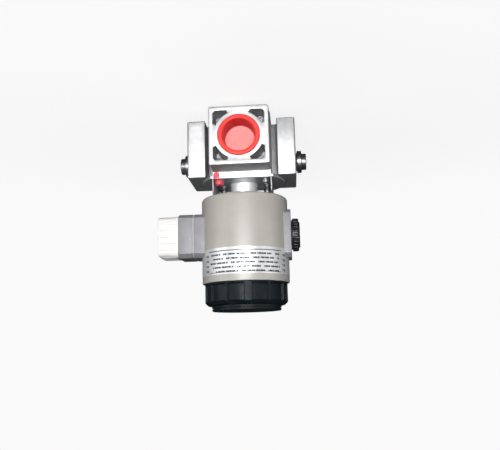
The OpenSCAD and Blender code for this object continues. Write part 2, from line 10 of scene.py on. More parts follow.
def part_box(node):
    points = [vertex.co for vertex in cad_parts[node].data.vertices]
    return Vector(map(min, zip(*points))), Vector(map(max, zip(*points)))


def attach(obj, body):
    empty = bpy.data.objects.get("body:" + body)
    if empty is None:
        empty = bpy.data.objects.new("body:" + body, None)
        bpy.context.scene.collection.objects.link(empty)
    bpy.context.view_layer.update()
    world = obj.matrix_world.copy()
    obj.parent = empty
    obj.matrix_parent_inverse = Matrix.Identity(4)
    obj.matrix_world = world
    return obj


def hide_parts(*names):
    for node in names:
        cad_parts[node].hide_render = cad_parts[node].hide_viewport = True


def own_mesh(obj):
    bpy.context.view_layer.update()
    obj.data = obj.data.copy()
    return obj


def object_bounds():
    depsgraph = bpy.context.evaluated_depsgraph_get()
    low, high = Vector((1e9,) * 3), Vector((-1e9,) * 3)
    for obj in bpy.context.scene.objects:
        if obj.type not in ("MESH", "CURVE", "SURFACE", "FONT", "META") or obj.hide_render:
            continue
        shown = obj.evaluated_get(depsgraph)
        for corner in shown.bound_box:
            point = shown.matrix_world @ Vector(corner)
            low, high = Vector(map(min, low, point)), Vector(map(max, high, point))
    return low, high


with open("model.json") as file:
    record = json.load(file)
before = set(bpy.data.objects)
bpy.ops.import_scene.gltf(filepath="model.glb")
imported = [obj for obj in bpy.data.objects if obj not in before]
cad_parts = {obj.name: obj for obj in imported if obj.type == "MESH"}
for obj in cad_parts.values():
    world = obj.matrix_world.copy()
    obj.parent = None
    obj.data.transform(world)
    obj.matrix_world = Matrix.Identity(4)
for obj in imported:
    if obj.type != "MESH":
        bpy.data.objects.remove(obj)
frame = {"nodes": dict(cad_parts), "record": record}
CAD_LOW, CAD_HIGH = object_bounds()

# Looks of a gas solenoid valve. All shapes below are drawn in millimetres and scaled to metres when
# they become pieces. Z runs up the solenoid's axis and the gas flows along +Y.
MM = 0.001
FULL_TURN = 2 * math.pi


# ---- camera, light and floor

CAMERA_AT = (-39.8, -534.5, 194.3)
CAMERA_AIM = (-4.4, 0.0, 95.2)
CAMERA_ROLL = 178.57
CAMERA_LENS = 44.74
BACKGROUND = (0.955, 0.955, 0.955, 1)
WHITE = (1, 1, 1, 1)


def add_node(tree, kind, **values):
    """A node with each value set on its input of that name, _ standing for a space, or on the node."""
    node = tree.nodes.new("ShaderNode" + kind)
    for key, value in values.items():
        socket = key.replace("_", " ")
        if socket in node.inputs:
            node.inputs[socket].default_value = value
        else:
            setattr(node, key, value)
    return node


def make_camera():
    data = bpy.data.cameras.new("camera")
    data.lens = CAMERA_LENS
    data.sensor_width = 36
    data.clip_start, data.clip_end = 0.01, 20
    camera = bpy.data.objects.new("camera", data)
    bpy.context.scene.collection.objects.link(camera)
    at, aim = Vector(CAMERA_AT) * MM, Vector(CAMERA_AIM) * MM
    look = (aim - at).to_track_quat("-Z", "Y").to_matrix().to_4x4()
    camera.matrix_world = Matrix.Translation(at) @ look @ Matrix.Rotation(math.radians(CAMERA_ROLL), 4, "Z")
    bpy.context.scene.camera = camera


def area_light(name, at, aim, size, watts):
    data = bpy.data.lights.new(name, "AREA")
    data.shape = "RECTANGLE"
    data.size, data.size_y = size
    data.energy = watts
    light = bpy.data.objects.new(name, data)
    bpy.context.scene.collection.objects.link(light)
    light.location = at
    light.rotation_euler = (Vector(aim) - Vector(at)).to_track_quat("-Z", "Y").to_euler()
    return light


def make_world():
    """White for the camera. As light it is brightest level with the object on the inlet's side."""
    world = bpy.data.worlds.new("studio")
    bpy.context.scene.world = world
    world.use_nodes = True
    tree = world.node_tree
    tree.nodes.clear()
    link = tree.links.new
    out, mix = add_node(tree, "OutputWorld"), add_node(tree, "MixShader")
    seen = add_node(tree, "Background", Color=BACKGROUND)
    light = add_node(tree, "Background", Strength=0.5)
    path, coord = add_node(tree, "LightPath"), add_node(tree, "TexCoord")
    split, steep = add_node(tree, "SeparateXYZ"), add_node(tree, "Math", operation="ABSOLUTE")
    level = add_node(tree, "ValToRGB")
    near, far = level.color_ramp.elements
    near.position, near.color = 0.0, (0.70, 0.70, 0.70, 1)
    far.position, far.color = 0.35, (0.060, 0.070, 0.080, 1)
    depth = add_node(tree, "MapRange", From_Min=-0.5, From_Max=0.5, To_Min=1.0, To_Max=0.35)
    both = add_node(tree, "Mix", data_type="RGBA", blend_type="MULTIPLY", Factor=1)
    link(coord.outputs["Generated"], split.inputs[0])
    link(split.outputs["Z"], steep.inputs[0])
    link(steep.outputs[0], level.inputs[0])
    link(split.outputs["Y"], depth.inputs["Value"])
    link(level.outputs["Color"], both.inputs["A"])
    link(depth.outputs[0], both.inputs["B"])
    link(both.outputs["Result"], light.inputs["Color"])
    link(path.outputs["Is Camera Ray"], mix.inputs[0])
    link(light.outputs[0], mix.inputs[1])
    link(seen.outputs[0], mix.inputs[2])
    link(mix.outputs[0], out.inputs["Surface"])


def make_floor():
    """Pale floor under the object that fades into the background further out."""
    bpy.ops.mesh.primitive_plane_add(size=12, location=(0, 0, CAD_LOW.z))
    floor = bpy.context.active_object
    floor.name = "floor"
    material = bpy.data.materials.new("pale_floor")
    material.use_nodes = True
    tree = material.node_tree
    link = tree.links.new
    shader = tree.nodes["Principled BSDF"]
    for socket, value in (("Base Color", (0.34, 0.34, 0.34, 1)), ("Roughness", 0.9),
                          ("Specular IOR Level", 0.0), ("Emission Color", WHITE), ("Emission Strength", 0.80)):
        shader.inputs[socket].default_value = value
    far, mix = add_node(tree, "Emission", Color=BACKGROUND), add_node(tree, "MixShader")
    coord, length = add_node(tree, "TexCoord"), add_node(tree, "VectorMath", operation="LENGTH")
    fade = add_node(tree, "MapRange", interpolation_type="SMOOTHSTEP", From_Min=0.10, From_Max=0.45)
    link(coord.outputs["Object"], length.inputs[0])
    link(length.outputs["Value"], fade.inputs["Value"])
    link(fade.outputs[0], mix.inputs[0])
    link(shader.outputs[0], mix.inputs[1])
    link(far.outputs[0], mix.inputs[2])
    link(mix.outputs[0], tree.nodes["Material Output"].inputs["Surface"])
    floor.data.materials.append(material)
    floor.visible_diffuse = False
    floor.visible_glossy = False
    floor.visible_transmission = False


def make_studio():
    make_world()
    make_floor()
    bpy.context.scene.view_settings.view_transform = "Standard"
    middle = (0, 0, 0.085)
    area_light("key", (-0.02, -1.15, 0.14), middle, (0.6, 0.35), 20)
    area_light("left_fill", (1.0, -0.55, 0.10), middle, (0.6, 0.35), 4.2)
    area_light("right_fill", (-1.0, -0.45, 0.10), middle, (0.6, 0.35), 2.8)
    back = area_light("back_fill", (0.25, 1.10, 0.12), middle, (1.0, 0.35), 13)
    back.visible_glossy = False


make_camera()
make_studio()


# ---- outlines

def arc_steps(degrees):
    return max(2, math.ceil(abs(degrees) / 15))


def rounded(points, radius):
    """Closed outline through points. Each corner is rounded by radius, one number or one for each point."""
    out = []
    count = len(points)
    for i, point in enumerate(points):
        r = radius[i] if isinstance(radius, (list, tuple)) else radius
        corner = Vector(point)
        if r <= 0:
            out.append(corner)
            continue
        to_last = (Vector(points[i - 1]) - corner).normalized()
        to_next = (Vector(points[(i + 1) % count]) - corner).normalized()
        half = to_last.angle(to_next) / 2
        centre = corner + (to_last + to_next).normalized() * (r / math.sin(half))
        first = corner + to_last * (r / math.tan(half)) - centre
        last = corner + to_next * (r / math.tan(half)) - centre
        turn = math.atan2(first.x * last.y - first.y * last.x, first.dot(last))
        steps = arc_steps(math.degrees(turn))
        for k in range(steps + 1):
            out.append(centre + first @ Matrix.Rotation(-turn * k / steps, 2))
    return out


def rectangle(w, h, radius=0.0):
    x, y = w / 2, h / 2
    return rounded([(-x, -y), (x, -y), (x, y), (-x, y)], radius)


def bevelled(w, h, bevel_w, bevel_h, radius=0.0):
    """Rectangle with its corners cut off by bevel_w along w and bevel_h along h."""
    x, y, a, b = w / 2, h / 2, bevel_w, bevel_h
    corners = [(x - a, -y), (x, b - y), (x, y - b), (x - a, y),
               (a - x, y), (-x, y - b), (-x, b - y), (a - x, -y)]
    return rounded(corners, radius)


def polar(r, angle, *z):
    return Vector((r * math.cos(angle), r * math.sin(angle), *z))


def circle(radius, centre=(0, 0), steps=64):
    return [Vector(centre) + polar(radius, FULL_TURN * k / steps) for k in range(steps)]


def hexagon(corner_radius):
    return circle(corner_radius, steps=6)


def band(inner, outer, low, high):
    """Profile of a plain ring, for a lathe."""
    return [(inner, low), (outer, low), (outer, high), (inner, high)]


def is_left_turning(loop):
    return sum(a.x * b.y - a.y * b.x for a, b in zip(loop, loop[1:] + loop[:1])) > 0


def inset(loop, distance):
    """The outline moved towards its left-hand side by distance."""
    shifted = []
    for i, point in enumerate(loop):
        before = (point - loop[i - 1]).normalized()
        after = (loop[(i + 1) % len(loop)] - point).normalized()
        normal_a, normal_b = Vector((-before.y, before.x)), Vector((-after.y, after.x))
        middle = normal_a + normal_b
        middle.normalize()
        shifted.append(point + middle * (distance / max(0.3, middle.dot(normal_a))))
    return shifted


# ---- solids, as bmesh

# Angles over a quarter turn for edges that are drawn round.
QUARTER_ARC = [math.pi / 2 * k / 3 for k in range(4)]


def round_edges(low, high, edge, top_edge=None):
    """Levels of a solid from low to high with quarter round edges: pairs of height and inset."""
    top_edge = edge if top_edge is None else top_edge
    bottom = [(low + edge * (1 - math.cos(a)), edge * (1 - math.sin(a))) for a in QUARTER_ARC]
    top = [(high - top_edge * (1 - math.cos(a)), top_edge * (1 - math.sin(a))) for a in reversed(QUARTER_ARC)]
    if edge == 0:
        bottom = [(low, 0)]
    if top_edge == 0:
        top = [(high, 0)]
    return bottom + top


def flared(floor, mouth, fillet, flare):
    """Levels of a pocket's cutter: filleted floor, straight walls and a mouth whose rim comes out rounded."""
    low = [(floor + fillet * (1 - math.cos(a)), fillet * (1 - math.sin(a))) for a in QUARTER_ARC]
    rim = [(mouth - flare + flare * math.sin(a), -flare * (1 - math.cos(a))) for a in QUARTER_ARC]
    return low + rim + [(mouth + 1, -flare)]


def bridge(mesh, a, b):
    for i in range(len(a)):
        mesh.faces.new((a[i - 1], a[i], b[i], b[i - 1]))


def shell(mesh, rings):
    """Closed surface through rings of points, with a face over the first and the last."""
    for a, b in zip(rings, rings[1:]):
        bridge(mesh, a, b)
    mesh.faces.new(rings[0])
    mesh.faces.new(rings[-1])
    bmesh.ops.recalc_face_normals(mesh, faces=mesh.faces)
    return mesh


def stack(loops, levels):
    """Solid whose section is the first loop less the others, at each level's height and inset."""
    outer = list(loops[0]) if is_left_turning(loops[0]) else list(reversed(loops[0]))
    holes = [list(h) if not is_left_turning(h) else list(reversed(h)) for h in loops[1:]]
    mesh = bmesh.new()
    rings = []
    for height, distance in levels:
        rings.append([[mesh.verts.new((p.x, p.y, height)) for p in inset(loop, distance)]
                      for loop in [outer, *holes]])
    for low, high in zip(rings, rings[1:]):
        for a, b in zip(low, high):
            bridge(mesh, a, b)
    for ring, flip in ((rings[0], True), (rings[-1], False)):
        flat = [v for loop in ring for v in loop]
        for triangle in tessellate_polygon([[v.co for v in loop] for loop in ring]):
            corners = [flat[i] for i in triangle]
            mesh.faces.new(list(reversed(corners)) if flip else corners)
    bmesh.ops.recalc_face_normals(mesh, faces=mesh.faces)
    return mesh


def prism(loops, low, high, edge=0.4):
    return stack(loops, round_edges(low, high, edge))


def lathe(profile, radius=0.0, steps=96):
    """Closed profile of (r, z) points, rounded at its corners and turned about Z."""
    outline = rounded(profile, radius)
    mesh = bmesh.new()
    rings = []
    for k in range(steps):
        rings.append([mesh.verts.new(polar(p.x, FULL_TURN * k / steps, p.y)) for p in outline])
    for k, ring in enumerate(rings):
        last = rings[k - 1]
        for i in range(len(outline)):
            on_axis = abs(outline[i].x) + abs(outline[i - 1].x) < 1e-6
            if not on_axis:
                mesh.faces.new((last[i - 1], last[i], ring[i], ring[i - 1]))
    bmesh.ops.remove_doubles(mesh, verts=mesh.verts, dist=1e-5)
    bmesh.ops.recalc_face_normals(mesh, faces=mesh.faces)
    return mesh


def disc(radius, low, high, edge=0.3, steps=96):
    return lathe(band(0, radius, low, high), [0, edge, edge, 0], steps)


def thread(radius, depth, pitch, low, high, steps=72, rows_per_turn=8):
    """Closed rod from low to high whose side is a rounded thread between radius and radius + depth."""
    rows = math.ceil((high - low) / pitch * rows_per_turn)
    mesh = bmesh.new()
    rings = []
    for j in range(rows + 1):
        z = low + (high - low) * j / rows
        ring = []
        for k in range(steps):
            phase = z / pitch + k / steps
            r = radius + depth * (0.5 + 0.5 * math.cos(FULL_TURN * phase))
            ring.append(mesh.verts.new(polar(r, FULL_TURN * k / steps, z)))
        rings.append(ring)
    return shell(mesh, rings)


def placed(mesh, matrix):
    """mesh moved by matrix, with its faces still facing out when the matrix mirrors."""
    bmesh.ops.transform(mesh, matrix=matrix, verts=mesh.verts)
    if matrix.determinant() < 0:
        bmesh.ops.reverse_faces(mesh, faces=mesh.faces)
    return mesh


def moved(mesh, x=0.0, y=0.0, z=0.0):
    return placed(mesh, Matrix.Translation((x, y, z)))


def turned(mesh, degrees, axis="Z"):
    return placed(mesh, Matrix.Rotation(math.radians(degrees), 4, axis))


def mirrored_x(mesh):
    return placed(mesh, Matrix.Scale(-1, 4, (1, 0, 0)))


def along_x(mesh, side=1):
    """Solid drawn about Z laid so that it rises along +X, or along -X when side is -1."""
    mesh = turned(mesh, 90, "Y")
    return mesh if side > 0 else mirrored_x(mesh)


def joined(meshes):
    """One mesh with every shell of the given ones."""
    total = bmesh.new()
    for mesh in meshes:
        held = bpy.data.meshes.new("held")
        mesh.to_mesh(held)
        total.from_mesh(held)
        mesh.free()
        bpy.data.meshes.remove(held)
    return total


def scratch_object(mesh):
    data = bpy.data.meshes.new("scratch")
    mesh.to_mesh(data)
    mesh.free()
    holder = bpy.data.objects.new("scratch", data)
    bpy.context.scene.collection.objects.link(holder)
    return holder


def combined(mesh, others, operation):
    """Boolean of mesh with all the others at once."""
    if not others:
        return mesh
    base, tool = scratch_object(mesh), scratch_object(joined(others))
    modifier = base.modifiers.new("boolean", "BOOLEAN")
    modifier.operation = operation
    modifier.solver = "EXACT"
    modifier.use_self = True
    modifier.object = tool
    bpy.context.view_layer.update()
    result = base.evaluated_get(bpy.context.evaluated_depsgraph_get())
    out = bmesh.new()
    out.from_mesh(result.data)
    for scratch in (base, tool):
        data = scratch.data
        bpy.data.objects.remove(scratch)
        bpy.data.meshes.remove(data)
    bmesh.ops.remove_doubles(out, verts=out.verts, dist=1e-4)
    return out


def cut(mesh, cutters):
    return combined(mesh, cutters, "DIFFERENCE")


def fused(meshes):
    return combined(meshes[0], meshes[1:], "UNION")


# ---- materials

SURFACES = {}
# Where colours change, in millimetres from the frame's origin: along the flow for the milled faces, up for the
# plate's top where painted highlight meets painted shade, and along the flow for the red cup's painted shade
# and light.
BODY_FACE = 25.0
FLANGE_FACE = 48.0
PLATE_TOP = 59.0
CUP_MOUTH, CUP_FLOOR = -49.0, -31.8


class Surface:
    """A node material with a principled shader, made up of a few procedural layers.

    Its layers take a grain: the size of the noise's blobs in millimetres, its detail and, if it is drawn out
    along an axis, its scale along each axis. They can also take a socket."""

    def __init__(self, name, roughness, metallic=0.0, **constants):
        SURFACES[name] = self
        self.material = bpy.data.materials.new(name)
        self.material.use_nodes = True
        self.tree = self.material.node_tree
        self.shader = self.tree.nodes["Principled BSDF"]
        for key, value in {"Roughness": roughness, "Metallic": metallic, **constants}.items():
            self.shader.inputs[key.replace("_", " ")].default_value = value
        coordinates = self.add("TexCoord")
        self.place, self.facing = coordinates.outputs["Object"], coordinates.outputs["Normal"]
        self.normal = None

    def add(self, kind, **values):
        return add_node(self.tree, kind, **values)

    def link(self, source, target):
        self.tree.links.new(source, self.shader.inputs[target] if isinstance(target, str) else target)

    def field(self, grain):
        if not isinstance(grain, tuple):
            return grain
        size, detail, scale = grain if len(grain) == 3 else (*grain, (1, 1, 1))
        mapping = self.add("Mapping", Scale=scale)
        self.link(self.place, mapping.inputs["Vector"])
        texture = self.add("TexNoise", Scale=1 / (size * MM), Detail=detail)
        self.link(mapping.outputs[0], texture.inputs["Vector"])
        return texture.outputs["Fac"]

    def speckle(self, size):
        texture = self.add("TexVoronoi", Scale=1 / (size * MM))
        self.link(self.place, texture.inputs["Vector"])
        return texture.outputs["Distance"]

    def ramp(self, source, stops):
        """Colour ramp over source, with stops of position and colour."""
        node = self.add("ValToRGB")
        elements = node.color_ramp.elements
        for element, (position, colour) in zip(elements, stops[:2]):
            element.position, element.color = position, (*colour, 1)
        for position, colour in stops[2:]:
            elements.new(position).color = (*colour, 1)
        self.link(source, node.inputs["Fac"])
        return node.outputs["Color"]

    def spread(self, source, start, end, low, high):
        """source, running from start to end, mapped to the range from low to high."""
        node = self.add("MapRange", From_Min=start, From_Max=end, To_Min=low, To_Max=high)
        self.link(source, node.inputs["Value"])
        return node.outputs[0]

    def compute(self, operation, *values):
        """A math node over sockets and numbers."""
        node = self.add("Math", operation=operation)
        for socket, value in zip(node.inputs, values):
            if isinstance(value, (int, float)):
                socket.default_value = value
            else:
                self.link(value, socket)
        return node.outputs[0]

    def axis(self, name, source=None):
        split = self.add("SeparateXYZ")
        self.link(source or self.place, split.inputs[0])
        return split.outputs[name]

    def colour(self, grain, dark, light):
        self.link(self.ramp(self.field(grain), [(0.3, dark), (0.7, light)]), "Base Color")
        return self

    def painted_shade_and_light_by_depth(self, mouth, floor, stops):
        """Painted shade and light along the flow between two places in millimetres, broken up by a little
        noise.
        """
        depth = self.spread(self.axis("Y"), mouth * MM, floor * MM, 0, 1)
        self.link(self.ramp(self.compute("MULTIPLY_ADD", self.field((3, 2)), 0.03, depth), stops), "Base Color")
        return self

    def machined(self):
        """1 on the faces milled flat across the flow: the flange faces and the front and back of the body."""
        depth = self.compute("ABSOLUTE", self.axis("Y"))
        faces = self.compute("ABSOLUTE", self.axis("Y", self.facing))
        body = self.compute("COMPARE", depth, BODY_FACE * MM, 0.6 * MM)
        flange = self.compute("COMPARE", depth, FLANGE_FACE * MM, 0.8 * MM)
        square = self.compute("GREATER_THAN", faces, 0.9)
        return self.compute("MULTIPLY", self.compute("MAXIMUM", body, flange), square)

    def above(self, height):
        return self.compute("GREATER_THAN", self.axis("Z"), height * MM)

    def finish_and_painted_light_tones(self, mask, grain, first, second, roughness):
        """Dark and light colour of the first tone where mask is 0, and of the second where it is 1: two real
        finishes where the mask marks milled faces, painted shade below and painted highlight above where it
        marks a height.
        """
        blend = self.compute("MULTIPLY_ADD", mask, 0.75, self.compute("MULTIPLY", self.field(grain), 0.25))
        stops = [(0.07, first[0]), (0.18, first[1]), (0.82, second[0]), (0.93, second[1])]
        self.link(self.ramp(blend, stops), "Base Color")
        self.link(self.spread(blend, 0.10, 0.90, *roughness), "Roughness")
        return self

    def rough(self, grain, low, high):
        self.link(self.spread(self.field(grain), 0.3, 0.7, low, high), "Roughness")
        return self

    def bump(self, grain, height):
        node = self.add("Bump", Strength=1.0, Distance=height * MM)
        self.link(self.field(grain), node.inputs["Height"])
        if self.normal is not None:
            self.link(self.normal, node.inputs["Normal"])
        self.normal = node.outputs["Normal"]
        self.link(self.normal, "Normal")
        return self


def make_metals():
    cast = Surface("cast_aluminium", 0.4, 0.72)
    cast.finish_and_painted_light_tones(cast.machined(), (5, 5), [(0.28, 0.28, 0.29), (0.38, 0.38, 0.39)],
                  [(0.46, 0.46, 0.465), (0.56, 0.56, 0.565)], (0.56, 0.50))
    cast.bump((0.8, 4), 0.03).bump(cast.speckle(1.4), 0.015)

    # The stainless is lighter above the plate's top, a painted highlight across the tube, and darker below it,
    # painted shade on the plate under the can.
    steel = Surface("stainless", 0.4, 0.65)
    steel.finish_and_painted_light_tones(steel.above(PLATE_TOP), (1.2, 3, (0.05, 0.05, 1)), [(0.44, 0.48, 0.49), (0.58, 0.62, 0.63)],
                   [(0.80, 0.81, 0.82), (0.92, 0.93, 0.94)], (0.30, 0.50))
    steel.bump((0.35, 2, (0.03, 0.03, 1)), 0.008)

    zinc = Surface("zinc_steel", 0.36, 0.95).colour((3, 4), (0.17, 0.17, 0.18), (0.27, 0.27, 0.28))
    zinc.rough((1.0, 3), 0.28, 0.46).bump((0.3, 2), 0.01)

    magnetic = Surface("magnetic_steel", 0.45, 0.9).colour((5, 4), (0.26, 0.25, 0.25), (0.42, 0.41, 0.40))
    magnetic.rough((1.5, 3), 0.35, 0.6)

    brass = Surface("brass_seat", 0.28, 1.0).colour((4, 3), (0.62, 0.43, 0.18), (0.80, 0.61, 0.30))
    brass.rough((0.8, 3), 0.2, 0.36)

    contact = Surface("contact_brass", 0.25, 1.0).colour((2, 3), (0.68, 0.52, 0.27), (0.82, 0.66, 0.38))
    contact.rough((0.6, 2), 0.2, 0.32)

    copper = Surface("copper_winding", 0.3, 0.9)
    copper.colour((1.0, 2, (0.02, 0.02, 1)), (0.42, 0.14, 0.05), (0.72, 0.34, 0.15))
    copper.rough((0.8, 2), 0.22, 0.4).bump((0.6, 1, (0.01, 0.01, 1)), 0.1)

    foil = Surface("foil_label", 0.42, 0.45).colour((10, 4), (0.50, 0.51, 0.515), (0.64, 0.645, 0.645))
    foil.rough((2.5, 3), 0.36, 0.50).bump((5, 3), 0.02)


def make_plastics():
    rubber = Surface("black_rubber", 0.75).colour((2, 4), (0.014, 0.014, 0.015), (0.035, 0.035, 0.037))
    rubber.rough((0.8, 3), 0.62, 0.85).bump((0.3, 3), 0.02)

    pale = Surface("pale_seal", 0.7).colour((2, 4), (0.44, 0.43, 0.42), (0.54, 0.52, 0.51))
    pale.rough((0.8, 3), 0.6, 0.8).bump((0.3, 3), 0.02)

    red = Surface("red_plastic", 0.4, Subsurface_Weight=0.12, Subsurface_Scale=0.002, Specular_IOR_Level=0.3,
                  Subsurface_Radius=(1.0, 0.15, 0.10))
    # Painted shade and light inside the cup: bright red at the mouth, darkening down the wall as painted shade
    # in the hollow, and pink at the floor as painted light.
    red.painted_shade_and_light_by_depth(CUP_MOUTH, CUP_FLOOR, [(0.0, (0.80, 0.040, 0.032)), (0.12, (0.62, 0.010, 0.012)),
                                             (0.90, (0.38, 0.002, 0.006)), (0.985, (0.76, 0.235, 0.225))])
    red.rough((2.0, 3), 0.34, 0.50).bump((1.6, 2), 0.012)

    tamper = Surface("tamper_red", 0.25, Coat_Weight=0.5, Coat_Roughness=0.1)
    tamper.colour((2.5, 3), (0.40, 0.035, 0.055), (0.56, 0.075, 0.095))
    tamper.rough((1.2, 3), 0.2, 0.4).bump((1.5, 2), 0.05)

    grey = Surface("grey_housing", 0.42, Coat_Weight=0.12, Coat_Roughness=0.35)
    grey.colour((14, 4), (0.300, 0.285, 0.262), (0.335, 0.320, 0.296))
    grey.rough((3, 4), 0.36, 0.50).bump((0.45, 3), 0.012).bump((6, 2), 0.03)

    lilac = Surface("lilac_plastic", 0.45).colour((6, 4), (0.172, 0.169, 0.182), (0.205, 0.201, 0.217))
    lilac.rough((2, 3), 0.38, 0.55).bump((0.35, 3), 0.02)

    black = Surface("black_plastic", 0.34, Specular_IOR_Level=0.09)
    black.colour((8, 4), (0.004, 0.007, 0.009), (0.009, 0.014, 0.017))
    black.rough((2.2, 4), 0.36, 0.50).bump((0.35, 3), 0.015)

    entry = Surface("entry_plastic", 0.34, Specular_IOR_Level=0.3)
    entry.colour((5, 4), (0.007, 0.007, 0.009), (0.014, 0.014, 0.017))
    entry.rough((1.6, 3), 0.26, 0.42).bump((0.3, 2), 0.015)

    milky = Surface("white_polythene", 0.35, Transmission_Weight=0.25, Subsurface_Weight=0.25,
                    Subsurface_Scale=0.006, Subsurface_Radius=(1.0, 0.85, 0.75), IOR=1.3)
    milky.colour((6, 3), (0.85, 0.815, 0.795), (0.90, 0.875, 0.86))
    milky.rough((2, 3), 0.28, 0.45).bump((2.2, 2), 0.03)

    bobbin = Surface("bobbin_plastic", 0.5).colour((5, 3), (0.012, 0.012, 0.013), (0.028, 0.028, 0.030))
    bobbin.rough((1.5, 3), 0.4, 0.6)

    ink = Surface("label_ink", 0.6, Specular_IOR_Level=0.15)
    ink.colour((0.8, 3), (0.018, 0.023, 0.030), (0.040, 0.048, 0.060)).rough((1, 2), 0.55, 0.7)

    board = Surface("circuit_board", 0.35).colour((3, 3), (0.012, 0.085, 0.035), (0.020, 0.130, 0.055))
    board.rough((1, 2), 0.28, 0.42)


make_metals()
make_plastics()

NODE_SLOT = {part["node"]: part["material_slot"] for part in frame["record"]["subparts"]}


def finish_mesh(data, surface, sharp):
    """Smooth shading with sharp edges over an angle in degrees, and the surface's material."""
    data.polygons.foreach_set("use_smooth", [True] * len(data.polygons))
    data.set_sharp_from_angle(angle=math.radians(sharp))
    data.materials.append(SURFACES[surface].material)


def dress_cad_nodes():
    """Every CAD node that stays visible gets the material of its slot."""
    for name, cad in frame["nodes"].items():
        cad.data.materials.clear()
        finish_mesh(cad.data, NODE_SLOT[name], 30)


def piece(name, mesh, surface, body, nodes=(), sharp=32):
    """Turns a millimetre mesh into a shown object that rides on body and stands for the CAD nodes."""
    bmesh.ops.scale(mesh, vec=(MM, MM, MM), verts=mesh.verts)
    data = bpy.data.meshes.new(name)
    mesh.to_mesh(data)
    mesh.free()
    finish_mesh(data, surface, sharp)
    made = bpy.data.objects.new(name, data)
    bpy.context.scene.collection.objects.link(made)
    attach(made, body)
    if nodes:
        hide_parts(*nodes)
    return made


# ---- measures taken from the frame

def box_mm(node):
    low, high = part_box(node)
    return low / MM, high / MM


BODY_LOW, BODY_HIGH = box_mm("valve_body")
COVER_LOW, COVER_HIGH = box_mm("bottom_cover")
FLANGE_LOW, FLANGE_HIGH = box_mm("inlet_flange")
CAN_LOW, CAN_HIGH = box_mm("solenoid_housing")
PLATE_LOW, PLATE_HIGH = box_mm("guide_tube")
CAP_LOW, CAP_HIGH = box_mm("top_cap")
PORT_Z = (FLANGE_LOW.z + FLANGE_HIGH.z) / 2
FACE_Y = -FLANGE_LOW.y
FLANGE_L = FLANGE_HIGH.y - FLANGE_LOW.y
BLOCK = (COVER_HIGH.x, COVER_HIGH.y)
WING_OUT = BODY_HIGH.x
WING_IN = 30.8
TOP_Z = PLATE_LOW.z + 1
STEP_Z = TOP_Z + 1.5
SIDE_Z = (box_mm("connector_housing")[0].z + box_mm("connector_housing")[1].z) / 2
TEST_Z = (box_mm("test_plug_left")[0].z + box_mm("test_plug_left")[1].z) / 2
CAN_R = CAN_HIGH.x
WING_LOW = PORT_Z - 21.3
BONNET_SCREWS = (20.0, 18.4)
COVER_SCREWS = (21.2, 8.5)
CONNECTOR_SCREWS = (12.9, 14.9)
SIDE_BEVEL = (3.4, 4.5)
TEST_PITCH = 1.337
ENTRY_PITCH = 1.5
FLANGE_SCREW = 17.6
POCKET_DEPTH = 20.0
M4 = 2.0
THREAD_R = 15.15
THREAD_DEPTH = 1.1
THREAD_PITCH = 2.309


def at_corners(x, y):
    return [(sx * x, sy * y) for sx in (-1, 1) for sy in (-1, 1)]


# ---- body casting and its covers

def wing_and_web(side):
    half_y = BLOCK[1]
    web = 8.5
    inner = BLOCK[0] - 1.5
    outline = [(inner, -web), (WING_IN, -web), (WING_IN, -half_y), (WING_OUT, -half_y),
               (WING_OUT, half_y), (WING_IN, half_y), (WING_IN, web), (inner, web)]
    corner_r = [0.2, 2.0, 1.0, 1.6, 1.6, 1.0, 2.0, 0.2]
    mesh = prism([rounded(outline, corner_r)], WING_LOW, TOP_Z, 0.9)
    return mesh if side > 0 else mirrored_x(mesh)


def raised_disc():
    radius, steps = 36.5, 12
    reach = math.asin((BLOCK[1] - 0.05) / radius)
    angles = [reach * (k / steps * 2 - 1) for k in range(steps + 1)]
    right = [polar(radius, a) for a in angles]
    return prism([right + [-p for p in right]], TOP_Z - 1.2, STEP_Z, 0.5)


def cheek(side):
    """Thin upright wall beside the bonnet."""
    inner, outer, half_y = 24.3, 25.5, BLOCK[1] - 2
    outline = rounded(band(-half_y, half_y, TOP_Z - 2, BODY_HIGH.z), [0, 0, 4, 4])
    wall = prism([outline], inner, outer, 0.35)
    upright = Matrix(((0, 0, side, 0), (side, 0, 0, 0), (0, 1, 0, 0), (0, 0, 0, 1)))
    return placed(wall, upright)


def wing_panel():
    """Shallow raised frame cast on the inlet face of the connector's wing."""
    middle = (WING_IN + WING_OUT) / 2
    outer = rectangle(11.6, 43, 2.0)
    inner = rectangle(10.2, 41.6, 1.4)
    frame_mesh = prism([outer, inner], -0.4, 0.3, 0.12)
    return moved(turned(frame_mesh, 90, "X"), middle, -BLOCK[1], PORT_Z + 4)


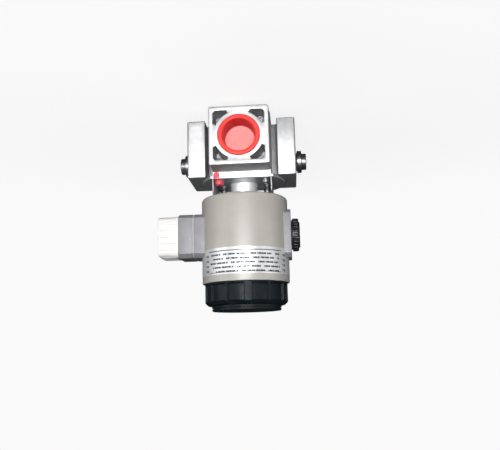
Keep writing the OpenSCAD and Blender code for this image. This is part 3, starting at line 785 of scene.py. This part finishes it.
def valve_body():
    solids = [prism([rectangle(2 * BLOCK[0], 2 * BLOCK[1], 1.2)], BODY_LOW.z, TOP_Z, 0.7)]
    solids += [wing_and_web(1), wing_and_web(-1), raised_disc(), cheek(1), cheek(-1), wing_panel()]
    casting = fused(solids)
    deck = PORT_Z + 8
    half_y = BLOCK[1]
    cutters = [
        stack([rectangle(47.3, 45.3, 3)], [(PLATE_LOW.z, 0), (STEP_Z + 3, 0)]),
        disc(18.5, deck, PLATE_LOW.z + 1, 1.0),
        disc(13.4, deck - 5, deck + 2, 0),
        disc(12.6, BODY_LOW.z - 1, deck - 3, 0),
        moved(turned(disc(14, 0, half_y + 1, 0), -90, "X"), z=PORT_Z),
        moved(turned(disc(14, 15.4, half_y + 1, 0.8), 90, "X"), z=PORT_Z),
        moved(turned(disc(16, half_y - 1.2, half_y + 2, 0), 90, "X"), z=PORT_Z),
        moved(prism([rectangle(24, 4.6)], PORT_Z, deck + 1, 0.3), y=-17.7),
    ]
    for side in (1, -1):
        hole = thread(5.5, 0.5, TEST_PITCH, WING_OUT - 13, WING_OUT + 1, 40, 6)
        way = disc(1.5, 15, WING_OUT - 12, 0, 24)
        deep = 20
        hollow = stack([rectangle(WING_OUT - WING_IN - 6, 2 * half_y - 6, 2)], flared(0, deep, 1.5, 0.5))
        cutters += [moved(along_x(hole, side), z=TEST_Z), moved(along_x(way, side), z=TEST_Z),
                    moved(turned(hollow, 180, "Y"), x=side * (WING_IN + WING_OUT) / 2, z=WING_LOW + deep)]
    for x, y in at_corners(*BONNET_SCREWS):
        cutters.append(moved(disc(M4 + 0.06, PLATE_LOW.z - 7.5, PLATE_LOW.z + 2, 0, 32), x, y))
    for x, z in at_corners(FLANGE_SCREW, FLANGE_SCREW):
        for turn in (-90, 90):
            hole = disc(M4 + 0.06, half_y - 9.5, half_y + 1, 0, 32)
            cutters.append(moved(turned(hole, turn, "X"), x, z=PORT_Z + z))
    for x, y in at_corners(*COVER_SCREWS):
        cutters.append(moved(disc(1.55, BODY_LOW.z - 1, BODY_LOW.z + 7, 0, 24), x, y))
    piece("body_casting", cut(casting, cutters), "cast_aluminium", "valve", ["valve_body"])


def bottom_cover():
    plate = prism([rectangle(2 * BLOCK[0], 2 * BLOCK[1], 2)], COVER_LOW.z, COVER_HIGH.z, 0.6)
    sink = 1.5
    cutters = []
    for x, y in at_corners(*COVER_SCREWS):
        cutters.append(moved(lathe([(0, -1), (4.2, -1), (1.7, sink), (1.7, 5), (0, 5)], steps=40), x, y))
    piece("base_cover", cut(plate, cutters), "cast_aluminium", "valve", ["bottom_cover"])
    screws = []
    for x, y in at_corners(*COVER_SCREWS):
        screw = lathe([(0, 0.1), (2.9, 0.1), (1.5, sink), (1.5, 9), (0, 9)], [0, 0.2, 0, 0.2, 0], 40)
        socket = turned(stack([hexagon(1.0)], [(-1, 0), (1.0, 0)]), 15)
        screws.append(moved(cut(screw, [socket]), x, y))
    piece("base_cover_screws", joined(screws), "zinc_steel", "valve", ["bottom_cover_screws"])


# ---- port flanges

def pocket_outline(rim=3.7, web=17.0, boss_r=20.9):
    """Corner pocket of a flange in the first quadrant, between rim, webs and the port's round boss."""
    near, far = web / 2, FLANGE_HIGH.x - rim
    on_boss = math.sqrt(boss_r ** 2 - near ** 2)
    start, end = math.atan2(near, on_boss), math.atan2(on_boss, near)
    corner = rounded([(far, near), (far, far), (near, far)], [0.8, 3, 0.8])
    return corner + [polar(boss_r, end + (start - end) * k / 8) for k in range(9)]


def port_matrix(direction):
    """From a flange drawn with z outwards from its face to its place at the inlet (-1) or outlet (1)."""
    face = Matrix.Translation((0, direction * FACE_Y, PORT_Z))
    return face @ Matrix.Rotation(-direction * math.pi / 2, 4, "X")


def port_flange(name, node, direction):
    plate = prism([rectangle(2 * FLANGE_HIGH.x, 2 * FLANGE_HIGH.x, 1.6)], -FLANGE_L, 0, 0.6)
    mouth = lathe([(0, -1.6), (17.6, -1.6), (17.6, -0.5), (18.1, 1), (0, 1)], [0, 0.2, 0.4, 0, 0])
    relief = lathe(band(0, 16.6, -18.3, -17.3))
    throat = disc(THREAD_R, -FLANGE_L - 1, -17.5, 0)
    lead_in = lathe([(0, -3.2), (THREAD_R, -3.2), (THREAD_R + 1.5, -1.5), (0, -1.5)])
    cutters = [mouth, relief, throat, lead_in, thread(THREAD_R, THREAD_DEPTH, THREAD_PITCH, -18, -1.4)]
    levels = flared(-POCKET_DEPTH, 0, 1.2, 0.45)
    for quarter in range(4):
        cutters.append(turned(stack([pocket_outline()], levels), 90 * quarter))
    for x, y in at_corners(FLANGE_SCREW, FLANGE_SCREW):
        cutters.append(moved(disc(M4 + 0.2, -FLANGE_L - 1, -POCKET_DEPTH + 2, 0, 32), x, y))
    flange = placed(cut(plate, cutters), port_matrix(direction))
    piece(name, flange, "cast_aluminium", "valve", [node])


def cap_screw(head_r, head_h, shank_r, length, steps=40):
    """Socket head screw with its head's underside at z = 0."""
    profile = [(0, -length), (shank_r, -length), (shank_r, 0), (head_r, 0), (head_r, head_h), (0, head_h)]
    screw = lathe(profile, [0, 0.4, 0.1, 0.2, 0.45, 0], steps)
    socket = stack([hexagon(head_r * 0.5)], [(head_h * 0.45, 0), (head_h - 0.25, 0), (head_h + 0.5, -0.35)])
    return cut(screw, [socket])


def flange_screws(name, node, direction):
    screws = [moved(turned(cap_screw(3.45, 4, M4 - 0.02, 11), 17 * (x + 2 * y)), x, y, -POCKET_DEPTH)
              for x, y in at_corners(FLANGE_SCREW, FLANGE_SCREW)]
    piece(name, placed(joined(screws), port_matrix(direction)), "zinc_steel", "valve", [node])


def strainer():
    low, high = box_mm("inlet_strainer")
    radius = high.x
    pitch, rows, hole_r = 3.0, 4, 1.0
    places = [(i * pitch, j * pitch) for i in range(-rows, rows + 1) for j in range(-rows, rows + 1)]
    holes = [circle(hole_r, p, 14) for p in places if math.hypot(*p) < radius - 2.6]
    sheet = prism([circle(radius, steps=72), *holes], 0, high.y - low.y, 0.12)
    piece("strainer_disc", moved(turned(sheet, -90, "X"), y=low.y, z=PORT_Z), "stainless", "valve",
          ["inlet_strainer"])


def dust_plug():
    """Red cup pushed into the inlet, drawn with z outwards from the flange's face."""
    rim_r, mouth_r, floor_r, wall_r = 17.4, 13.9, 12.6, THREAD_R - 0.1
    depth, lip, under_rim = 16.2, 1.0, -1.54
    bottom = depth + 1
    profile = [(0, -bottom), (floor_r + 1.2, -bottom), (wall_r, -3.6), (wall_r, under_rim), (rim_r, under_rim),
               (rim_r, lip), (mouth_r, lip), (floor_r, -depth), (0, -depth)]
    cup = lathe(profile, [0, 0.8, 0.4, 0.1, 0.25, 0.55, 0.9, 1.1, 0], 128)
    sunk = -depth - 0.4
    marks = [lathe(band(0, 0.9, sunk, -depth + 0.5), [0, 0, 0.3, 0], 24)]
    for angle, reach in ((150, 5.6), (30, 5.6), (205, 4.4)):
        dot = lathe(band(0, 0.8, sunk, -depth + 0.4), [0, 0, 0.25, 0], 20)
        marks.append(moved(dot, *polar(reach, math.radians(angle))))
    ring = lathe(band(8.6, 9.3, sunk, -depth + 0.3), [0, 0, 0.15, 0.15])
    cup = fused([cup, *marks, ring])
    piece("inlet_cup_plug", placed(cup, port_matrix(-1)), "red_plastic", "inlet_plug", ["inlet_dust_plug"])


# ---- bonnet and core

def guide_tube():
    low, high = PLATE_LOW, PLATE_HIGH
    tube_r, wall = 11.5, 1.0
    top = high.z
    plate_top = STEP_Z
    holes = [circle(M4 + 0.2, p, 32) for p in at_corners(*BONNET_SCREWS)]
    plate = prism([rectangle(high.x - low.x, high.y - low.y, 3), *holes], low.z, plate_top, 0.4)
    profile = [(0, low.z + 0.4), (tube_r + 2.2, plate_top - 0.6), (tube_r + 0.7, plate_top + 0.1),
               (tube_r, plate_top + 1.2), (tube_r, top), (0, top)]
    tube = lathe(profile, [0, 0, 0.5, 0.6, 0.3, 0], 128)
    bore = disc(tube_r - wall, low.z - 1, top + 1, 0)
    piece("guide_tube_with_plate", cut(fused([plate, tube]), [bore]), "stainless", "valve", ["guide_tube"])


def bonnet_screws():
    low, high = box_mm("bonnet_screws")
    plate_top = high.z - 4
    screws = [moved(turned(cap_screw(3.35, 4, M4 - 0.02, plate_top - low.z), 25 * x - 11 * y), x, y, plate_top)
              for x, y in at_corners(*BONNET_SCREWS)]
    piece("bonnet_cap_screws", joined(screws), "zinc_steel", "valve", ["bonnet_screws"])


def tamper_seal():
    """Red seal over one screw, with a tongue that runs over the body's edge and down its front."""
    low, high = box_mm("screw_seal_cap")
    width, thick = 5.4, 0.5
    radius, height = 3.9, high.z - STEP_Z
    x, y = BONNET_SCREWS[0], -BONNET_SCREWS[1]
    tongue_x, edge_y = x + 1.5, -BLOCK[1]
    profile = [(0, 3.5), (3.42, 3.5), (3.42, 0), (radius, 0), (radius, height - 1.0), (2.6, height),
               (0, height)]
    cap = moved(lathe(profile, [0, 0.3, 0, 0.3, 0.8, 0.9, 0], 48), x, y, STEP_Z)
    over = moved(prism([rectangle(width, 3.4, 0.4)], 0, thick, 0.2), tongue_x, edge_y + 1.25, STEP_Z)
    half, length = width / 2, 6.1
    outline = rounded([(-half, 0), (half, 0), (half, length), (-half, length)], [2.4, 2.6, 0.3, 0.3])
    run = moved(turned(prism([outline], 0, thick, 0.22), 90, "X"), tongue_x, edge_y, low.z)
    piece("red_tamper_seal", fused([cap, over, run]), "tamper_red", "valve", ["screw_seal_cap"])


def spring():
    """Coil spring between the armature's pocket and the fixed core."""
    low, high = box_mm("closing_spring")
    wire, mean_r, turns, sides = 0.55, high.x - 0.62, 9, 10
    per_turn = 36
    rise = high.z - low.z - 2 * wire
    mesh = bmesh.new()
    rings = []
    for k in range(turns * per_turn + 1):
        share = k / (turns * per_turn)
        angle = FULL_TURN * k / per_turn
        closed = 0.9 / turns
        climb = min(1, max(0, (share - closed) / (1 - 2 * closed)))
        centre, out = polar(mean_r, angle, low.z + wire + rise * climb), polar(1, angle, 0)
        rings.append([mesh.verts.new(centre + wire * (out * math.cos(t) + Vector((0, 0, 1)) * math.sin(t)))
                      for t in (FULL_TURN * s / sides for s in range(sides))])
    coil = piece("closing_coil_spring", shell(mesh, rings), "stainless", "valve", ["closing_spring"], 60)
    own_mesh(coil)


# ---- solenoid

def solenoid_can():
    wall, shoulder = 2.0, 2.5
    hole_r = 11.9
    low, high = CAN_LOW.z, CAN_HIGH.z
    profile = [(hole_r, low), (CAN_R, low), (CAN_R, high), (CAN_R - wall, high), (CAN_R - wall, low + wall),
               (hole_r, low + wall)]
    can = lathe(profile, [0.3, shoulder, 0.5, 0.3, 1.2, 0.3], 192)
    entry = moved(along_x(disc(10, 25, 45, 0, 64), -1), z=SIDE_Z)
    way = moved(along_x(prism([rectangle(20, 20)], 25, 45, 0)), z=SIDE_Z)
    piece("solenoid_can", cut(can, [entry, way]), "grey_housing", "actuator", ["solenoid_housing"])


def curved_patch(spans, radius, thickness):
    """Closed thin patches on a cylinder, one for each (start, end, low, high) in degrees and millimetres."""
    mesh = bmesh.new()
    for start, end, low, high in spans:
        steps = max(1, math.ceil((end - start) / 2))
        rings = []
        for k in range(steps + 1):
            a = math.radians(start + (end - start) * k / steps)
            section = band(radius, radius + thickness, low, high)
            rings.append([mesh.verts.new(polar(r, a, z)) for r, z in section])
        shell(mesh, rings)
    bmesh.ops.remove_doubles(mesh, verts=mesh.verts, dist=1e-4)
    bmesh.ops.recalc_face_normals(mesh, faces=mesh.faces)
    return mesh


def label_and_print():
    low, high = box_mm("type_label")
    start, end, half_boss, half_plug = 150, 390, 26.2, 28.0
    boss_top, plug_top = SIDE_Z + 21.2, SIDE_Z + 19.4
    thickness = 0.12
    edge_steps = [(start, 180 - half_boss, low.z), (180 - half_boss, 180 + half_boss, boss_top),
                  (180 + half_boss, 360 - half_plug, low.z), (360 - half_plug, end, plug_top)]
    spans = [(a, b, z, high.z) for a, b, z in edge_steps if b > a]
    foil, ink = CAN_R + 0.01, CAN_R + 0.01 + thickness
    piece("foil_type_label", curved_patch(spans, foil, thickness), "foil_label", "actuator", ["type_label"], 40)
    piece("label_ruled_lines", curved_patch(ruled_lines(low.z, high.z), ink, 0.03), "label_ink", "actuator",
          sharp=40)


def ruled_lines(low, high):
    """Plain dashes in rows, in a central block and a column at each end. They spell nothing."""
    marks = [(214, 320, low + 2.4, low + 3.1), (216, 318, high - 1.7, high - 1.2)]
    rows, pitch, height = 5, 3.5, 1.4
    dash_lengths = [3.2, 1.4, 2.4, 4.0, 1.1, 2.8, 1.8, 3.6, 2.1]
    for row in range(rows):
        base = low + 5.2 + row * pitch
        at, k = 218 + (row % 3) * 1.5, row * 2
        stop = 316 - (row * 5) % 7
        while at < stop:
            length = dash_lengths[k % len(dash_lengths)]
            if k % 11 != 3:
                marks.append((at, at + length, base, base + height))
            at += length + 0.4 + (1.0 if k % 4 == 2 else 0)
            k += 1
    for column in (206, 321):
        for row in range(4):
            base = low + 5.4 + row * 4.2
            marks.append((column, column + 3.4, base, base + 1.6))
            marks.append((column + 4.4, column + 6.6, base, base + 0.7))
    return marks


def raised_x(outline, x0, x1, edge, inner_edge=0.05):
    """Solid standing out along X from x0 to x1, with its section drawn as (height, flow)."""
    levels = round_edges(x0, x1, inner_edge, edge)
    return moved(along_x(stack([outline], levels)), z=SIDE_Z)


def side_block(x0, x1, w, h, corner, edge, inner_edge=0.05):
    return raised_x(rectangle(h, w, corner), x0, x1, edge, inner_edge)


def bevelled_block(x0, x1, w, h, edge, inner_edge=0.05):
    return raised_x(bevelled(h, w, *SIDE_BEVEL, 0.5), x0, x1, edge, inner_edge)


def can_cutter():
    return disc(CAN_R - 0.02, CAN_LOW.z + 3, CAN_HIGH.z, 0, 192)


def connector():
    low, high = box_mm("connector_base")
    w, h = high.y - low.y, high.z - low.z
    gasket_low, gasket_high = box_mm("connector_gasket")
    cover_low, cover_high = box_mm("connector_housing")
    shroud_l = 9.0
    out = cover_high.x - shroud_l
    cable_way = moved(along_x(prism([rectangle(26, 24, 1)], 25, high.x + 1, 0)), z=SIDE_Z)
    base = cut(bevelled_block(31, high.x, w, h, 0.5), [can_cutter(), cable_way])
    piece("connector_foot", base, "lilac_plastic", "actuator", ["connector_base"])

    outline = bevelled(h - 0.8, w - 0.8, *SIDE_BEVEL, 0.5)
    seal = prism([outline, rectangle(h - 12, w - 12, 2)], gasket_low.x, gasket_high.x, 0.2)
    piece("connector_seal", moved(along_x(seal), z=SIDE_Z), "pale_seal", "actuator", ["connector_gasket"])

    box = bevelled_block(cover_low.x, out, w, h, 0.9, 0.4)
    shroud = side_block(out - 1, cover_high.x, 26, 26, 3, 0.6)
    hollow = side_block(cover_low.x - 1, out - 5, w - 12, h - 12, 1.5, 0.8)
    socket = side_block(out - 2, cover_high.x + 3, 22, 22, 2, 0, 0.4)
    slots = [moved(placed(prism([rectangle(6.6, 1.3, 0.2)], out - 8, out + 4, 0), slot_matrix(k)), z=SIDE_Z)
             for k in range(4)]
    holes = []
    screws = []
    for y, z in at_corners(*CONNECTOR_SCREWS):
        holes.append(moved(along_x(disc(2.35, out - 1.5, out + 1, 0, 32)), y=y, z=SIDE_Z + z))
        screw = moved(cap_screw(2.2, 1.4, 1.25, out - 1.5 - high.x + 3.5, 28), z=out - 1.5)
        screws.append(moved(along_x(screw), y=y, z=SIDE_Z + z))
    housing = cut(fused([box, shroud]), [hollow, socket, *slots, *holes])
    piece("connector_box", housing, "lilac_plastic", "actuator", ["connector_housing"])
    piece("connector_cap_screws", joined(screws), "zinc_steel", "actuator", ["connector_screws"])
    pins = [moved(placed(prism([rectangle(6.3, 0.8, 0.2)], out - 7, out + 8, 0.3), slot_matrix(k)), z=SIDE_Z)
            for k in range(4)]
    piece("contact_tabs", joined(pins), "contact_brass", "actuator", ["contact_pins"])


def slot_matrix(quarter):
    """From a flat slot drawn about Z to one of four places round the connector's axis, rising along X."""
    lay = Matrix(((0, 0, 1, 0), (1, 0, 0, 0), (0, 1, 0, 0), (0, 0, 0, 1)))
    return Matrix.Rotation(quarter * math.pi / 2, 4, "X") @ Matrix.Translation((0, 0, 6.5)) @ lay


def connector_cover():
    """Milky cover pushed over the connector, with soft ribs down its sides."""
    low, high = box_mm("connector_dust_cap")
    w, h, wall = high.y - low.y, high.z - low.z, 1.3
    outer = side_block(low.x, high.x, w - 1.2, h - 1.2, 4, 1.2, 0.3)
    ribs = []
    for k in range(-2, 3):
        ribs.append(side_block(low.x, high.x - 2.2, 1.6, h, 0.7, 0.5, 0.3))
        moved(ribs[-1], y=k * 5.0)
        ribs.append(side_block(low.x, high.x - 2.2, w, 1.6, 0.7, 0.5, 0.3))
        moved(ribs[-1], z=k * 5.6)
    brim = side_block(low.x, low.x + 2.2, w, h, 4.4, 0.5, 0.3)
    hollow = side_block(low.x - 1, high.x - 1.4, w - 2 * wall, h - 2 * wall, 3, 0.8)
    cover = cut(fused([outer, brim, *ribs]), [hollow])
    piece("connector_cover", cover, "white_polythene", "dust_cap", ["connector_dust_cap"])


def cable_entry():
    low, high = box_mm("entry_boss")
    w, h = high.y - low.y, high.z - low.z
    bore = moved(along_x(thread(9.94, 0.5, ENTRY_PITCH, 20, 50, 64, 6)), z=SIDE_Z)
    boss = cut(bevelled_block(31, -low.x, w, h, 0.8), [can_cutter(), bore])
    piece("cable_entry_boss", mirrored_x(boss), "lilac_plastic", "actuator", ["entry_boss"])

    ring = lathe(band(10.2, 13, 0, 0.9), 0.35)
    seat = box_mm("cable_plug_seal")[1].x
    piece("cable_plug_washer", moved(along_x(ring, -1), seat, 0, SIDE_Z), "black_rubber", "cable_seal",
          ["cable_plug_seal"])

    plug_low, plug_high = box_mm("cable_entry_plug")
    radius, top = plug_high.z - SIDE_Z, -plug_low.x
    face = top - 6.4
    body = lathe([(0, face), (radius, face), (radius, face + 5.4), (11.2, face + 5.4), (11.2, top), (0, top)],
                 [0, 0.4, 1.2, 0.4, 0.6, 0], 128)
    grips = []
    for place in circle(radius + 0.45, steps=30):
        grips.append(moved(disc(0.9, face + 0.9, face + 6, 0.2, 16), place.x, place.y))
    slot = prism([rectangle(15, 2.4, 0.3)], face + 4.6, top + 2, 0.1)
    shank = thread(9.4, 0.48, ENTRY_PITCH, face - 5, face + 0.5, 64, 6)
    hollow = disc(7, face - 7, face + 1, 0.5)
    plug = cut(fused([body, shank]), [slot, hollow, *grips])
    piece("cable_blanking_plug", moved(along_x(plug, -1), z=SIDE_Z), "entry_plastic", "cable_plug",
          ["cable_entry_plug"])


def test_points():
    for name, side in (("left", 1), ("right", -1)):
        seal_low, seal_high = box_mm(f"test_seal_{name}")
        start = min(abs(seal_low.x), abs(seal_high.x))
        ring = lathe(band(6.1, 8, start, start + 0.9), 0.35, 64)
        piece(f"test_washer_{name}", moved(along_x(ring, side), z=TEST_Z), "black_rubber", f"test_seal_{name}",
              [f"test_seal_{name}"])
        low, high = box_mm(f"test_plug_{name}")
        tip = max(abs(low.x), abs(high.x))
        collar_r = high.z - TEST_Z
        face = tip - 8.1
        profile = [(0, face), (collar_r, face), (collar_r, face + 4), (7.2, face + 4), (7.2, tip), (0, tip)]
        body = lathe(profile, [0, 0.4, 0.7, 0.5, 0.8, 0], 96)
        shank = thread(5.3, 0.5, TEST_PITCH, face - 10, face + 0.5, 40, 6)
        socket = stack([hexagon(3.4)], [(face + 3.5, 0), (tip - 0.5, 0), (tip + 1, -1.2)])
        plug = cut(fused([body, shank]), [socket])
        piece(f"test_screw_{name}", moved(along_x(plug, side), z=TEST_Z), "zinc_steel", f"test_plug_{name}",
              [f"test_plug_{name}"])


# ---- top cap

CAP_PHASE = -6.5
# Middle and half width of the ribs in each quarter, in degrees.
RIBS = ((0, 4.8), (30, 1.7), (60, 1.7), (90, 4.8))


def cap_depth(angle):
    """How far into a panel an angle lies, in degrees from its nearer rib edge. Negative on a rib."""
    return min(abs(angle % 90 - centre) - half for centre, half in RIBS)


def smooth(x):
    x = min(1.0, max(0.0, x))
    return x * x * (3 - 2 * x)


def cap_angles():
    """Angles round the cap from a broad rib: dense at the panels' edges and sparse between them."""
    edges = [centre + side * half for centre, half in RIBS for side in (-1, 1)]
    fine = {round(e + side * d * 0.3, 3) for e in edges for side in (-1, 1) for d in range(-1, 5)}
    fine |= {round(2.5 * k, 3) for k in range(37)}
    quarter = sorted(a for a in fine if 0 <= a < 90)
    return [a + 90 * q for q in range(4) for a in quarter]


def top_cap():
    radius, low, high = CAP_HIGH.x, CAP_LOW.z, CAP_HIGH.z
    recess, edge = 1.8, 2.6
    panel_low, panel_high = low + 1.2, high - edge
    heights = [low, low + 0.35]
    heights += [panel_low + k * 0.3 for k in range(-1, 5)]
    heights += [panel_low + 2 + (panel_high - panel_low - 4) * k / 6 for k in range(7)]
    heights += [panel_high - 0.3 * k for k in range(4, -2, -1)]
    heights += [high - edge + 0.9, high - 0.5]
    mesh = bmesh.new()
    rings = []
    for z in heights:
        ring = []
        for angle in cap_angles():
            inward = max(0.0, z - (high - edge)) + (0.35 if z == low else 0)
            up = smooth((z - panel_low) / 0.9) * smooth((panel_high - z) / 0.9)
            sunk = smooth(cap_depth(angle) / 0.9) * up * recess
            a, r = math.radians(angle + CAP_PHASE), radius - inward - sunk
            ring.append(mesh.verts.new(polar(r, a, z)))
        rings.append(ring)
    rings.append([mesh.verts.new((v.co.x * 0.975, v.co.y * 0.975, high)) for v in rings[-1]])
    shell(mesh, rings)
    rebate = disc(32.9, low - 1, low + 1.44, 0)
    inside = lathe([(10, low + 6), (29.5, low - 2), (29.5, high - 3), (10, high - 3)], [0.5, 0, 1.5, 1.5])
    under = disc(29.5, low - 2, low + 6.4, 0)
    bore = disc(6.06, low - 1, box_mm("pole_core")[1].z + 0.6, 0)
    seat = disc(26, high - 1, high + 2, 0)
    piece("ribbed_cap", cut(mesh, [rebate, inside, under, bore, seat]), "black_plastic", "cap", ["top_cap"], 50)

    lid_low, lid_high = box_mm("cap_lid")
    lid_r, top, spigot_r = lid_high.x, lid_high.z, 25.94
    height = top - high
    profile = [(0, lid_low.z), (spigot_r, lid_low.z), (spigot_r, high), (lid_r, high),
               (lid_r, high + height * 0.40), (lid_r - 0.9, high + height * 0.42),
               (lid_r - 0.9, high + height * 0.56), (lid_r - 0.2, high + height * 0.58), (lid_r - 0.2, top),
               (23.5, top), (23, top - 0.5), (22, top - 0.5), (21.5, top), (0, top)]
    lid = lathe(profile, [0, 0.2, 0, 0.3, 0.25, 0.15, 0.15, 0.25, 0.9, 0.2, 0.2, 0.2, 0.2, 0], 160)
    piece("cap_top_lid", lid, "black_plastic", "cap", ["cap_lid"])

    seal_low, seal_high = box_mm("cap_seal")
    ring = lathe(band(30.2, 32.7, seal_low.z, seal_high.z), 0.5, 128)
    piece("cap_seal_ring", ring, "black_rubber", "cap_seal", ["cap_seal"])


valve_body()
bottom_cover()
port_flange("inlet_port_flange", "inlet_flange", -1)
port_flange("outlet_port_flange", "outlet_flange", 1)
flange_screws("inlet_cap_screws", "inlet_flange_screws", -1)
flange_screws("outlet_cap_screws", "outlet_flange_screws", 1)
strainer()
dust_plug()
guide_tube()
bonnet_screws()
tamper_seal()
spring()
solenoid_can()
label_and_print()
connector()
connector_cover()
cable_entry()
test_points()
top_cap()
dress_cad_nodes()
